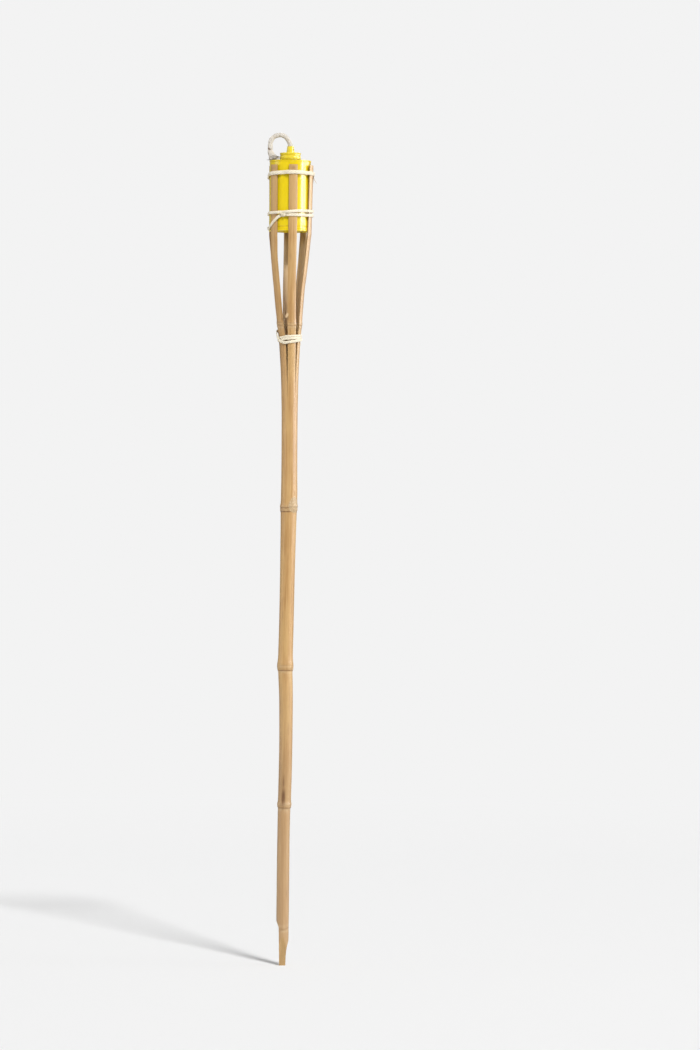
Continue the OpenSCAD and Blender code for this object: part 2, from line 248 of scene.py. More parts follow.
def bowed(az, r, z):
    """Point at an azimuth, a radius and a height round the bowed centreline."""
    return polar(az, r, z) + Vector((bow(z), 0, 0))


def cage_r(z, swell=0):
    return on_curve(CAGE, z) + swell * on_curve(SWELL, z)


def turn_between(a, b):
    """Signed turn from azimuth a to b, from -180 to 180."""
    return (b - a + 180) % 360 - 180


def heights(foot, head, step, fine):
    """Heights from foot to head, closer together near the (height, reach, step) rows of fine."""
    found = [foot]
    while found[-1] < head - 0.01:
        z = found[-1]
        pace = min([step] + [row[2] for row in fine if abs(z - row[0]) <= row[1]])
        found.append(min(head, z + pace))
    return found


# ---- Pieces ----


class Shape:
    """Points in millimetres, faces, and named values for each point."""

    def __init__(self):
        self.points = []
        self.faces = []
        self.marks = {}

    def add(self, points, faces, **marks):
        start = len(self.points)
        self.points += points
        self.faces += [[start + k for k in face] for face in faces]
        for name, values in marks.items():
            self.marks.setdefault(name, []).extend(values)
        return self


def ring_faces(rows, count, closed=False):
    """Quads between rows of count points, with a face on each end unless the last row joins the first."""
    faces = []
    for i in range(rows if closed else rows - 1):
        for j in range(count):
            beside = (j + 1) % count
            above = (i + 1) % rows * count
            faces.append((i * count + j, i * count + beside, above + beside, above + j))
    if not closed:
        faces.append(list(range(count))[::-1])
        faces.append([(rows - 1) * count + j for j in range(count)])
    return faces


def linked(name, data):
    """New object in the scene for a mesh, a light or a camera."""
    obj = bpy.data.objects.new(name, data)
    bpy.context.scene.collection.objects.link(obj)
    return obj


def piece(name, shape, slot, body, *replaced):
    """Smooth mesh of a shape, in its slot's material, that rides on a body in place of CAD nodes."""
    data = bpy.data.meshes.new(name)
    data.from_pydata([Vector(p) * MM for p in shape.points], [], shape.faces)
    mesh = bmesh.new()
    mesh.from_mesh(data)
    bmesh.ops.recalc_face_normals(mesh, faces=mesh.faces)
    mesh.to_mesh(data)
    mesh.free()
    data.shade_smooth()
    data.set_sharp_from_angle(angle=EDGE_ANGLE)
    for mark, values in shape.marks.items():
        if isinstance(values[0], Vector):
            flat = [c * MM for v in values for c in v]
            data.attributes.new(mark, "FLOAT_VECTOR", "POINT").data.foreach_set("vector", flat)
        else:
            data.attributes.new(mark, "FLOAT", "POINT").data.foreach_set("value", values)
    data.materials.append(LOOKS[slot])
    obj = linked(name, data)
    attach(obj, body)
    if replaced:
        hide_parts(*replaced)
    return obj


# ---- Materials ----


class Recipe:
    """A Principled material, and short calls that add nodes to it."""

    def __init__(self, name, **constants):
        self.material = bpy.data.materials.new(name)
        self.material.use_nodes = True
        self.tree = self.material.node_tree
        self.shader = next(n for n in self.tree.nodes if n.type == "BSDF_PRINCIPLED")
        for socket, value in constants.items():
            self.shader.inputs[socket.replace("_", " ")].default_value = value

    def fill(self, socket, value):
        """Links a node's output to an input, or sets the input."""
        if isinstance(value, bpy.types.NodeSocket):
            self.tree.links.new(value, socket)
        else:
            socket.default_value = value

    def node(self, kind, inputs=None, **settings):
        made = self.tree.nodes.new("ShaderNode" + kind)
        for key, value in settings.items():
            setattr(made, key, value)
        for key, value in (inputs or {}).items():
            self.fill(made.inputs[key], value)
        return made

    def mark(self, name):
        """Value that the mesh carries for each point."""
        return self.node("Attribute", attribute_name=name).outputs["Fac"]

    def place(self, name=None):
        """Where a point is: on the object, or on the uncut culm for a mark such as grain."""
        if name:
            return self.node("Attribute", attribute_name=name).outputs["Vector"]
        return self.node("TexCoord").outputs["Object"]

    def height(self, vector):
        return self.node("SeparateXYZ", {0: vector}).outputs["Z"]

    def stretched(self, vector, factors):
        return self.node("VectorMath", {0: vector, 1: factors}, operation="MULTIPLY").outputs[0]

    def noise(self, vector, size, detail=2, roughness=0.5):
        """Noise whose features are about size metres across."""
        inputs = {"Vector": vector, "Scale": 1 / size, "Detail": detail, "Roughness": roughness}
        return self.node("TexNoise", inputs).outputs["Fac"]

    def ramp(self, value, *stops):
        """Colour at a value, from (place, colour) stops."""
        made = self.node("ValToRGB", {"Fac": value})
        ramp = made.color_ramp
        while len(ramp.elements) < len(stops):
            ramp.elements.new(1)
        for element, (place, colour) in zip(ramp.elements, stops):
            element.position = place
            element.color = (*colour, 1)
        return made.outputs["Color"]

    def window(self, value, start, end):
        """Value eased from 0 at start to 1 at end."""
        inputs = {"Value": value, "From Min": start, "From Max": end}
        return self.node("MapRange", inputs, interpolation_type="SMOOTHSTEP").outputs["Result"]

    def sum(self, first, second, share=1.0):
        return self.node("Math", {0: second, 1: share, 2: first}, operation="MULTIPLY_ADD").outputs[0]

    def times(self, first, second):
        return self.node("Math", {0: first, 1: second}, operation="MULTIPLY").outputs[0]

    def mix(self, share, first, second):
        made = self.node("Mix", data_type="RGBA")
        for socket, value in ((made.inputs[0], share), (made.inputs[6], first), (made.inputs[7], second)):
            self.fill(socket, (*value, 1) if isinstance(value, tuple) else value)
        return made.outputs[2]

    def tint(self, under, colour, value, start, end, strength):
        """A colour laid over another, from none to a strength as a value goes from start to end."""
        return self.mix(self.times(self.window(value, start, end), strength), under, colour)

    def between(self, share, first, second):
        """Number between two others."""
        return self.node("Mix", {0: share, 2: first, 3: second}, data_type="FLOAT").outputs[0]

    def bump(self, height, distance):
        made = self.node("Bump", {"Height": height, "Distance": distance})
        self.tree.links.new(made.outputs["Normal"], self.shader.inputs["Normal"])

    def glow(self, grey):
        """Output of a shader that shines an even grey."""
        return self.node("Emission", {"Color": (grey, grey, grey, 1)}).outputs[0]

    def show(self, shader):
        """Shows a shader's output in place of the Principled one."""
        output = next(n for n in self.tree.nodes if n.type == "OUTPUT_MATERIAL")
        self.tree.links.new(shader, output.inputs["Surface"])

    def finish(self, colour, roughness=None):
        self.tree.links.new(colour, self.shader.inputs["Base Color"])
        if roughness is not None:
            self.tree.links.new(roughness, self.shader.inputs["Roughness"])
        return self.material


def bamboo():
    """Dried bamboo: a satin skin with long streaks and flecks, and dull fibrous wood where it is cut."""
    m = Recipe("bamboo", Specular_IOR_Level=0.32, Coat_Weight=0.08, Coat_Roughness=0.35)
    grain = m.place("grain")
    fibres = m.noise(m.stretched(grain, (1, 1, 0.012)), 0.0004, 3, 0.6)
    streaks = m.noise(m.stretched(grain, (1, 1, 0.03)), 0.0022, 4, 0.6)
    clouds = m.noise(m.stretched(grain, (1, 1, 0.22)), 0.016, 3)
    flecks = m.window(m.noise(m.stretched(grain, (1, 1, 0.35)), 0.0012, 2, 0.7), 0.66, 0.76)
    skin = m.ramp(streaks, (0.3, (0.348, 0.187, 0.062)), (0.5, (0.444, 0.258, 0.098)),
                  (0.72, (0.531, 0.336, 0.148)))
    skin = m.tint(skin, (0.487, 0.304, 0.117), clouds, 0.42, 0.68, 0.8)
    skin = m.tint(skin, (0.348, 0.191, 0.068), clouds, 0.5, 0.3, 0.4)
    # The pole is duller and darker towards its foot
    skin = m.tint(skin, (0.335, 0.222, 0.127), m.height(grain), *DULL_FOOT, 0.6)
    skin = m.tint(skin, (0.313, 0.166, 0.061), fibres, 0.58, 0.8, 0.35)
    skin = m.mix(m.times(flecks, 0.45), skin, (0.261, 0.133, 0.053))
    skin = m.mix(m.mark("wax"), skin, (0.609, 0.499, 0.333))
    skin = m.mix(m.mark("ring"), skin, (0.174, 0.087, 0.034))
    # Stains, and a painted shadow under the torn curl of the front splint, darken the skin
    skin = m.mix(m.times(m.mark("stain"), m.window(streaks, 0.2, 0.55)), skin, (0.148, 0.071, 0.03))
    wood = m.ramp(fibres, (0.3, (0.26, 0.15, 0.055)), (0.52, (0.395, 0.25, 0.105)),
                  (0.75, (0.52, 0.365, 0.19)))
    wood = m.tint(wood, (0.191, 0.109, 0.044), streaks, 0.55, 0.8, 0.4)
    # Painted light pales the inner faces of the cage, and gives way to painted shadow near the can's bottom
    caged = m.times(m.window(m.height(grain), *PAINTED_LIGHT_FROM_FOOT), m.window(m.height(grain), *PAINTED_LIGHT_FROM_HEAD))
    cut = m.mark("cut")
    inner = m.times(caged, m.window(cut, SPLIT_EDGE_CUT + 0.02, 0.99))
    wood = m.mix(m.times(inner, 0.7), wood, (0.64, 0.47, 0.28))
    colour = m.mix(cut, skin, wood)
    mottle = m.mix(m.window(m.noise(grain, 0.0016, 2), 0.42, 0.6), (0.36, 0.262, 0.15), (0.49, 0.37, 0.225))
    colour = m.mix(m.mark("pale"), colour, mottle)
    rough = m.between(m.sum(cut, m.mark("pale")), m.between(m.window(clouds, 0.35, 0.7), 0.36, 0.5), 0.78)
    depth = m.sum(m.times(fibres, m.between(cut, 0.45, 1.6)), flecks, -0.5)
    m.bump(m.sum(depth, streaks, 0.5), 0.00022)
    return m.finish(colour, rough)


def cotton(name, dark, light, patch, sheen):
    """Soft braided cotton: yarns lit on their crowns and darker in the grooves, with a fine fuzz."""
    m = Recipe(name, Specular_IOR_Level=0.2, Sheen_Weight=sheen, Sheen_Roughness=0.5)
    place = m.place()
    yarn = m.mark("crown")
    fuzz = m.noise(place, 0.00035, 4, 0.7)
    patches = m.noise(place, 0.009, 2)
    colour = m.mix(m.window(yarn, 0.05, 0.7), dark, light)
    colour = m.tint(colour, light, fuzz, 0.35, 0.75, 0.25)
    colour = m.tint(colour, patch, patches, 0.45, 0.75, 0.35)
    # Painted shade in the crease of the wick
    colour = m.mix(m.mark("shade"), colour, (0.16, 0.095, 0.055))
    m.bump(m.sum(fuzz, yarn, 0.6), 0.00035)
    return m.finish(colour, m.between(m.window(fuzz, 0.3, 0.7), 0.86, 0.97))


def enamel():
    """Gloss yellow enamel on tinplate, with a faint orange peel, a lemon tint on top that is a painted
    reflection, and painted shade in its creases and seams.
    """
    m = Recipe("yellow_enamel", Specular_IOR_Level=0.2, Coat_Weight=0.3, Coat_Roughness=0.06)
    place = m.place()
    peel = m.noise(place, 0.0022, 2)
    drift = m.noise(m.stretched(place, (1, 1, 0.5)), 0.03, 3)
    dust = m.window(m.noise(place, 0.0009, 3, 0.7), 0.68, 0.8)
    colour = m.mix(m.window(drift, 0.35, 0.7), (0.7, 0.52, 0.004), (0.73, 0.55, 0.007))
    colour = m.mix(m.times(dust, 0.08), colour, (0.9, 0.8, 0.35))
    # Painted reflection: the top of the can and the burner are tinted lemon
    colour = m.tint(colour, (0.7, 0.6, 0.06), m.height(place), *LEMON_SHEEN, 0.6)
    # Painted shade in the grooves, seams and creases of the enamel
    colour = m.mix(m.times(m.mark("fold"), 0.75), colour, (0.55, 0.35, 0.004))
    m.bump(m.sum(peel, drift, 1.5), 0.00003)
    return m.finish(colour, m.between(m.window(drift, 0.3, 0.7), 0.24, 0.34))


def rubber():
    """Black nitrile gasket, dull, with a fine moulded grain and pale bloom."""
    m = Recipe("nitrile", Specular_IOR_Level=0.4)
    place = m.place()
    grain = m.noise(place, 0.0003, 3, 0.6)
    bloom = m.noise(place, 0.004, 3)
    colour = m.mix(m.window(bloom, 0.45, 0.75), (0.018, 0.018, 0.02), (0.06, 0.06, 0.062))
    m.bump(grain, 0.00008)
    return m.finish(colour, m.between(m.window(bloom, 0.3, 0.7), 0.55, 0.75))


# ---- Camera ----

CAMERA_DISTANCE = 7.5
VIEW_HEIGHT = 1.533
SENSOR = 36
# Where the tip is from the middle of the picture, in metres, and how far the picture leans
TIP_ASIDE = -0.0991
TIP_BELOW = -0.6428
LEAN = radians(0.584)


def make_camera():
    data = bpy.data.cameras.new("camera")
    data.sensor_width = SENSOR
    data.lens = SENSOR * CAMERA_DISTANCE / VIEW_HEIGHT
    obj = linked("camera", data)
    right = Vector((cos(LEAN), 0, sin(LEAN)))
    up = Vector((-sin(LEAN), 0, cos(LEAN)))
    back = right.cross(up)
    place = back * CAMERA_DISTANCE - right * TIP_ASIDE - up * TIP_BELOW
    obj.matrix_world = Matrix((
        (right.x, up.x, back.x, place.x),
        (right.y, up.y, back.y, place.y),
        (right.z, up.z, back.z, place.z),
        (0, 0, 0, 1),
    ))
    bpy.context.scene.camera = obj


make_camera()

# The material of each slot
LOOKS = {
    "bamboo": bamboo(),
    "cotton_cord": cotton("cotton_cord", (0.6, 0.51, 0.36), (0.76, 0.69, 0.54), (0.7, 0.6, 0.42), 0.1),
    "wick_cotton": cotton("wick_cotton", (0.5, 0.445, 0.37), (0.58, 0.54, 0.48), (0.54, 0.46, 0.37), 0.15),
    "yellow_paint": enamel(),
    "gasket_rubber": rubber(),
}


# ---- Cords ----


def swept(path, outs, width, thick, lay=5.0, relief=0.07, ridges=4, closed=False, taper=None, sides=24,
          shade=None):
    """Braided cord along a path: width across it, thick along the out directions.

    taper gives its size along the path, from 0 to 1, and shade how much painted shade a side of it gets at a
    point.
    """
    count = len(path)
    steps = [(path[(i + 1) % count] - p).length for i, p in enumerate(path)]
    if closed:
        total = sum(steps)
        lay = total / max(1, round(total / lay))
    points = []
    crowns = []
    shades = []
    travelled = 0
    for i, here in enumerate(path):
        before = path[i - 1] if closed or i > 0 else here
        after = path[(i + 1) % count] if closed or i < count - 1 else here
        along = (after - before).normalized()
        out = (outs[i] - along * outs[i].dot(along)).normalized()
        side = along.cross(out)
        size = taper(i / (count - 1)) if taper else 1
        for j in range(sides):
            turn = 2 * pi * j / sides
            lead = 2 * pi * travelled / lay
            crown = max(cos(ridges * turn + lead), cos(ridges * turn - lead))
            grow = size * (1 + relief * (crown - 0.8))
            across = side * (width / 2 * cos(turn) * grow)
            points.append(here + across + out * (thick / 2 * sin(turn) * grow))
            crowns.append(0.5 + 0.5 * crown)
            shades.append(shade(here, out * sin(turn) + side * cos(turn)) if shade else 0.0)
        travelled += steps[i]
    return points, ring_faces(count, sides, closed), crowns, shades


def add_cord(shape, *where, **how):
    """Adds a swept cord to a shape, with its marks."""
    points, faces, crowns, shades = swept(*where, **how)
    shape.add(points, faces, crown=crowns, shade=shades)


def spline(route, steps):
    """Points of a smooth curve through a route's points, steps to each stretch."""
    knots = [Vector(p) for p in route]
    knots = [knots[0] * 2 - knots[1]] + knots + [knots[-1] * 2 - knots[-2]]
    points = []
    for k in range(1, len(knots) - 2):
        a, b, c, d = knots[k - 1:k + 3]
        for i in range(steps):
            t = i / steps
            points.append(0.5 * (2 * b + (c - a) * t + (2 * a - 5 * b + 4 * c - d) * t * t
                                 + (3 * b - a - 3 * c + d) * t ** 3))
    return points + [knots[-2]]


def blunt_end(t):
    """Size of a cord along its length, rounded off over the last twentieth."""
    return sqrt(max(0.05, 1 - max(0, (t - 0.95) / 0.05) ** 2))


def strands(shape, origin, direction, side, count, length, radius, seed, floor_z=None, spread=1.0):
    """Adds loose yarns that fan out from a cut end."""
    chance = random.Random(seed)
    up = direction.cross(side).normalized()
    for _ in range(count):
        turn = chance.uniform(0, 2 * pi)
        reach = chance.random() ** 0.5
        offset = side * cos(turn) * reach + up * sin(turn) * reach
        root = origin + offset * radius
        reached = length * chance.uniform(0.6, 1)
        fan = offset * chance.uniform(0.3, 1.1) * spread + Vector((0, 0, chance.uniform(-0.4, 0.1)))
        path = []
        for k in range(5):
            t = k / 4
            p = root + direction * reached * t + fan * reached * 0.5 * t * t
            if floor_z is not None:
                p.z = max(p.z, floor_z)
            path.append(p)
        thick = chance.uniform(0.4, 0.7)
        add_cord(shape, path, [up] * 5, thick, thick, sides=6, relief=0.15, taper=lambda t: 1 - 0.6 * t)


# ---- Wick ----


def wick_shade(here, outward):
    """Painted shade in the crease across the outer side of the wick, where it turns under."""
    if here.x > -20:
        return 0.0
    across = smooth(0.8 - outward.x * 1.2)
    return hump((here.z - WICK_CREASE_Z + 2.2 * outward.x) / 1.5) * across


def make_wick():
    route = spline(WICK_ROUTE, 16)
    sideways = Vector((0, 1, 0))

    def size(t):
        height = route[min(len(route) - 1, int(t * (len(route) - 1)))].z
        crease = 0.05 * hump((height - WICK_CREASE_Z) / 1.6) if t > 0.5 else 0
        brush = BRUSH_SWELL * smooth((t - BRUSH_START) / BRUSH_REACH)
        return (1 - crease) * (1 + 0.07 * noise_at(t * 9, 0.3, 0.1)) * (1 + brush)

    loop = Shape()
    add_cord(loop, route, [sideways] * len(route), WICK_D, WICK_D * 0.97, lay=10, relief=0.03, ridges=6,
             taper=size, sides=48, shade=wick_shade)
    loop_piece = piece("wick_loop_braid", loop, "wick_cotton", "burner", "wick_loop")
    fray = Shape()
    end = route[-1]
    shoulder_z = CAN_TOP_Z + 0.9
    heading = (end - route[-20]).normalized()
    strands(fray, end - heading * 4, heading, sideways, count=360, length=8.5, radius=5.2, seed=5,
            floor_z=shoulder_z, spread=2.2)
    fray_piece = piece("wick_frayed_end", fray, "wick_cotton", "burner")


def make_wick_stem():
    """The wick's length inside the tube and the can, down to its frayed end in the oil."""
    foot_z = low("wick_stem").z
    count = 200
    span = MOUTH_Z - foot_z
    path = [Vector((0, 0, MOUTH_Z - span * k / count)) for k in range(count + 1)]
    stem = Shape()
    add_cord(stem, path, [Vector((0, 1, 0))] * len(path), WICK_D - 0.2, WICK_D - 0.2, lay=9, relief=0.04,
             ridges=5, sides=30)
    strands(stem, path[-1] + UP, Vector((0, 0, -1)), Vector((1, 0, 0)), count=40, length=5, radius=2.6,
            seed=9)
    piece("wick_stem_braid", stem, "wick_cotton", "burner", "wick_stem")


make_wick()
make_wick_stem()


# ---- Bamboo ----

SIDES = 96
# Left, right and front or back limits of the whittled tip: height, distance from the middle
TIP_LEFT = ((0, 4.5), (38, 5.1), (54, 5.6), (68, 9.4))
TIP_RIGHT = ((0, 4.5), (20, 5.5), (42, 9.3))
TIP_DEPTH = ((0, 4), (20, 5.5), (46, 9.3))
# The whittling ends below this height. A limit beyond the culm stands for no cut.
TIP_HEAD_Z = 80
UNCUT = 50


def node_gap(az, z, node_z):
    """Height above a node, whose plane tilts a little."""
    sag = 4.2 * max(0, cos(radians(az))) if node_z == LOWEST_NODE_Z else 0
    tilt = 0.6 * sin(radians(az + node_z))
    return z - node_z + sag - tilt - 0.35 * noise_at(az / 25, node_z, 0.5)


def flutes(az, z):
    """Shallow flutes along the fibres."""
    return 0.2 * noise_round(az, 1.6, z / 170) + 0.05 * noise_round(az, 6, z / 80)


def scar_rise(az, z):
    """Bud pads above the nodes, where the branches were cut off."""
    rise = 0
    for node_z, scar_az in BRANCH_SCARS:
        up = z - node_z
        if -4 < up < 24:
            aside = turn_between(scar_az, az)
            rise += hump(aside / 22) * hump((up - 4) / 6.5)
            rise -= 0.35 * hump(aside / 9) * smooth((up - 9) / 6) * (1 - smooth((up - 16) / 8))
    return rise


def internode_r(z):
    for foot_z, head_z, foot_r, head_r in INTERNODES:
        if z <= head_z:
            return foot_r + (head_r - foot_r) * (z - foot_z) / (head_z - foot_z) + on_curve(FLARE, z)
    return SPLIT_R


def whole_culm_r(az, z):
    """Outer radius of the culm before it is whittled."""
    rise = sum(on_curve(NODE_RISE[node_z], node_gap(az, z, node_z)) for node_z in NODE_HEIGHTS)
    uneven = 1 + 0.15 * noise_at(az / 30, z / 50, 3)
    return internode_r(z) + rise * uneven + flutes(az, z) + scar_rise(az, z)


def tip_limit(az, z):
    """Distance along an azimuth to the whittled faces of the tip."""
    aside = sin(radians(az))
    ahead = abs(cos(radians(az)))
    side = on_curve(TIP_RIGHT if aside > 0 else TIP_LEFT, z)
    limits = [UNCUT]
    if abs(aside) > 0.05:
        limits.append(side / abs(aside))
    if ahead > 0.05:
        limits.append(on_curve(TIP_DEPTH, z) / ahead)
    return min(limits)


def skin_marks(az, z):
    """Ring, wax, stain and painted shadow, and pale values of the bamboo's skin at a place on the uncut culm.
    """
    ring = 0
    wax = 0
    for node_z, lines in NODE_LINES.items():
        gap = node_gap(az, z, node_z)
        if abs(gap) > 16:
            continue
        for line_gap, strength in lines:
            uneven = 0.8 + 0.5 * noise_at(az / 14, node_z, line_gap)
            off = gap - line_gap
            ring += strength * uneven * (hump(off / 0.8) + 0.18 * hump((off - 1.5) / 3))
        wax += 0.3 * hump((gap - lines[0][0] + 2.6) / 2.2) * (0.6 + 0.8 * noise_at(az / 20, z / 4, 7))
        wax += 0.22 * hump((gap - 1.5) / 2.5) * (0.7 + 0.6 * noise_at(az / 26, z / 5, 3))
    stain = 0
    for stain_az, stain_z, half_w, half_h, strength in STAINS_AND_SHADOW:
        if abs(z - stain_z) > 2.2 * half_h:
            continue
        aside = radians(turn_between(stain_az, az)) * SPLIT_R
        stain = max(stain, strength * hump(aside / half_w) * hump((z - stain_z) / half_h))
    pale = 0
    for node_z, scar_az in BRANCH_SCARS:
        along = (z - node_z - 1) / (SCAR_UP if z > node_z + 1 else SCAR_DOWN)
        if abs(along) < 1:
            reach = SCAR_REACH * sqrt(1 - along * along)
            aside = abs(turn_between(scar_az, az))
            inside = smooth((reach - aside) / 6)
            pale = max(pale, inside * (0.75 + 0.5 * noise_at(az / 8, z / 2.5, 9)))
            ring *= 1 - 0.9 * inside
            ring += 0.3 * hump((aside - reach - 2) / 3) * (1 - abs(along))
    return min(1, ring), max(0, min(1, wax)), stain, pale


def add_bamboo_ring(shape, z, points, places, cuts):
    """Adds a ring of points: the azimuth and depth of each on the uncut culm set its grain and marks."""
    marks = [skin_marks(az, z) for az, _ in places]
    kept = [1 - 0.9 * cut for cut in cuts]
    ring, wax, stain, pale = zip(*marks)
    shape.add(points, [], ring=[a * b for a, b in zip(ring, kept)], wax=[a * b for a, b in zip(wax, kept)],
              stain=stain, pale=pale, grain=[polar(az, SPLIT_R - depth, z) for az, depth in places], cut=cuts)


def make_culm():
    """The whole culm up to the split, with its open hollow end."""
    culm = Shape()
    fine = [(z, 10, 0.7) for z in NODE_HEIGHTS] + [(669, 24, 1.5), (LOWEST_NODE_Z, 8, 1.2), (20, 50, 2.5)]
    rows = heights(0, SPLIT_Z, 5, fine)
    azimuths = [360 * j / SIDES for j in range(SIDES)]
    for z in rows:
        points = []
        cuts = []
        for az in azimuths:
            whole = whole_culm_r(az, z)
            limit = tip_limit(az, z) + 0.22 * noise_at(az / 22, z / 9, 11) if z < TIP_HEAD_Z else UNCUT
            r = min(whole, limit)
            points.append(bowed(az, r, z))
            cuts.append(smooth((whole - limit) / 0.25))
        add_bamboo_ring(culm, z, points, [(az, 0) for az in azimuths], cuts)
    hollow_z = NODE_HEIGHTS[-1] + 7
    inside = [SPLIT_Z] + [SPLIT_Z - 4 - k * (SPLIT_Z - hollow_z - 4) / 12 for k in range(13)]
    for z in inside:
        points = []
        for az in azimuths:
            r = internode_r(z) - WALL + 0.25 * noise_at(az / 8, z / 60, 5)
            points.append(bowed(az, r, z))
        add_bamboo_ring(culm, z, points, [(az, WALL) for az in azimuths], [1.0] * SIDES)
    culm.faces = ring_faces(len(rows) + len(inside), SIDES)
    piece("culm_bamboo", culm, "bamboo", "pole", "culm")


def splint_spread(z):
    """How far the splints have spread at a height, from 0 at the split to 1 at the can."""
    return smooth((z - SPLIT_Z) / (CAGE_FULL_Z - SPLIT_Z))


def splint_frame(splint, z):
    """Azimuth, section radius, thickness and outer radius of a splint at a height."""
    foot_az, head_az, swell, lean, _ = splint
    spread = splint_spread(z)
    az = foot_az + (head_az - foot_az) * smooth((z - SPLINT_TURN_Z) / (CAGE_FULL_Z - SPLINT_TURN_Z))
    section_r = SPLIT_R + (SPLINT_SECTION_R - SPLIT_R) * spread
    thick = WALL + (SPLINT_T - WALL) * spread
    return az, section_r, thick, cage_r(z, swell) + lean * on_curve(LEAN_OUT, z)


def splint_point(splint, z, turn, depth):
    """Point of a splint's section at a turn from its middle and a depth under its skin."""
    az, section_r, _, out_r = splint_frame(splint, z)
    return polar(az, out_r - section_r) + polar(az + turn, section_r - depth, z) + Vector((bow(z), 0, 0))


def splint_half(splint, z, side, seed):
    """Half the angle of a splint's section on one side: hand-split, and nearly shut at the culm."""
    _, section_r, _, _ = splint_frame(splint, z)
    free = smooth((z - SPLIT_Z) / 50)
    gap = 0.1 + 0.4 * free
    wander = 0.9 * free * noise_at(z / 38, side * 3, seed)
    share = 1 + (splint[4] - 1) * splint_spread(z)
    width = (SPLINT_W + SPLINT_SPREAD * smooth((z - SPREAD_FOOT_Z) / SPREAD_REACH)) * share
    return degrees(asin(width / 2 / section_r)) - gap + wander


def make_splint(name, splint, seed):
    """One splint: skin outside, split edges, and a fibrous inner face with the torn rest of the diaphragm."""
    shape = Shape()
    fine = [(SPLINT_NODE_Z, 8, 0.8), (SPLIT_Z, 12, 2)]
    rows = heights(SPLIT_Z, SPLINT_TOP_Z, 4, fine)
    slant = 0.5 * noise_at(seed, 2, 0.5)
    outer = [k / 7 - 1 for k in range(15)]
    inner = [1 - k / 5 for k in range(11)]
    ends = [(rows[-1], 0, 0), (rows[-1] + 0.05, 0.3, 0.3)]
    for z, inset, up in [(z, 0, 0) for z in rows[:-1]] + ends:
        z = min(z, SPLINT_TOP_Z)
        _, section_r, thick, _ = splint_frame(splint, z)
        left = splint_half(splint, z, -1, seed)
        right = splint_half(splint, z, 1, seed)
        ridge = SPLINT_RIDGE * on_curve(NODE_RISE[SPLINT_NODE_Z], node_gap(splint[0], z, SPLINT_NODE_Z))
        chamfer = degrees(0.3 / section_r)
        points = []
        places = []
        cuts = []

        def put(turn, depth, cut):
            rest_az = splint[0] + turn * section_r / SPLIT_R
            shrink = 1 - inset / (SPLINT_W / 2)
            p = splint_point(splint, z, turn * shrink, depth)
            p.z += up + slant * turn / 22 * smooth((z - SPLINT_TOP_Z + 14) / 14)
            points.append(p)
            places.append((rest_az, depth))
            cuts.append(max(cut, 1.0 if inset else 0.0))

        for share in outer:
            turn = share * ((right if share > 0 else left) - chamfer)
            rest_az = splint[0] + turn * section_r / SPLIT_R
            put(turn, inset * 0.7 - ridge - flutes(rest_az, z), 0.0)
        rough = 0.12 * noise_at(z / 9, seed, 8)
        put(right, 0.35 + inset * 0.5 - ridge, SPLIT_EDGE_CUT)
        put(right - 0.3 + rough, thick * 0.55, SPLIT_EDGE_CUT)
        shelf = 2 * hump((z - SPLINT_NODE_Z) / 3)
        for share in inner:
            turn = share * ((right if share > 0 else left) - 0.8)
            torn = 0.65 + 0.5 * noise_at(turn / 3, seed, 4)
            fibrous = 0.22 * noise_at(turn / 2.2, z / 70, seed)
            put(turn, thick - inset * 0.7 + shelf * torn + fibrous, 1.0)
        put(-left + 0.3 - rough, thick * 0.55, SPLIT_EDGE_CUT)
        put(-left, 0.35 + inset * 0.5 - ridge, SPLIT_EDGE_CUT)
        add_bamboo_ring(shape, z, points, places, cuts)
    count = len(outer) + len(inner) + 4
    shape.faces = ring_faces(len(rows) + 1, count)
    piece(name + "_bamboo", shape, "bamboo", "pole", name)


FLAKE_SIDES = 10


def make_flake(name, splint, turn, route, width, thick):
    """Sliver torn from a splint: its route has a height, way out, sideways turn and size in each row."""
    path = spline([splint_point(splint, z, turn + aside, -outward) for z, outward, aside, _ in route], 6)
    outs = spline([polar(splint_frame(splint, row[0])[0] + turn, 1) for row in route], 6)
    sizes = [row[3] for row in route]

    def size(t):
        k = min(len(sizes) - 2, int(t * (len(sizes) - 1)))
        part = t * (len(sizes) - 1) - k
        return sizes[k] + (sizes[k + 1] - sizes[k]) * part

    points, faces, _, _ = swept(path, outs, width, thick, relief=0, taper=size, sides=FLAKE_SIDES)
    count = len(points)
    rest = [polar(splint[0] + turn, SPLIT_R, p.z) + (p - path[k // FLAKE_SIDES])
            for k, p in enumerate(points)]
    none = [0.0] * count
    flake = Shape().add(points, faces, grain=rest, cut=[1.0] * count, ring=none, wax=none,
                        stain=[0.25] * count, pale=none)
    piece(name, flake, "bamboo", "pole")


make_culm()
for number, (splint_name, splint_row) in enumerate(SPLINTS.items()):
    make_splint(splint_name, splint_row, number + 0.37)
make_flake("right_splint_sliver", SPLINTS["right_splint"], 14,
           ((1157, -0.3, 0, 0.5), (1153, 0.2, 0, 1), (1149, 1.1, 1, 1), (1145, 3, 2, 0.8),
            (1141, 5.4, 3, 0.25)), 1.5, 0.7)
make_flake("right_splint_hair", SPLINTS["right_splint"], 16,
           ((1154, -0.2, 0, 0.6), (1149, 0.4, 0, 1), (1145, 0.9, 0, 0.8), (1141, 1.1, -2, 0.2)), 1, 0.5)
make_flake("front_splint_curl", SPLINTS["front_splint"], -29,
           ((953, -0.9, 1, 0.5), (950, -0.1, -1, 1), (947.6, 0.5, -4, 1.1), (945.6, 0.7, -8, 1),
            (944.4, 0.2, -11, 0.5)), 3.4, 1.1)


# ---- Ties ----


def nearest_splint(az):
    """Turn from an azimuth to the nearest splint's middle at the can."""
    return min(abs(turn_between(az, row[1])) for row in SPLINTS.values())


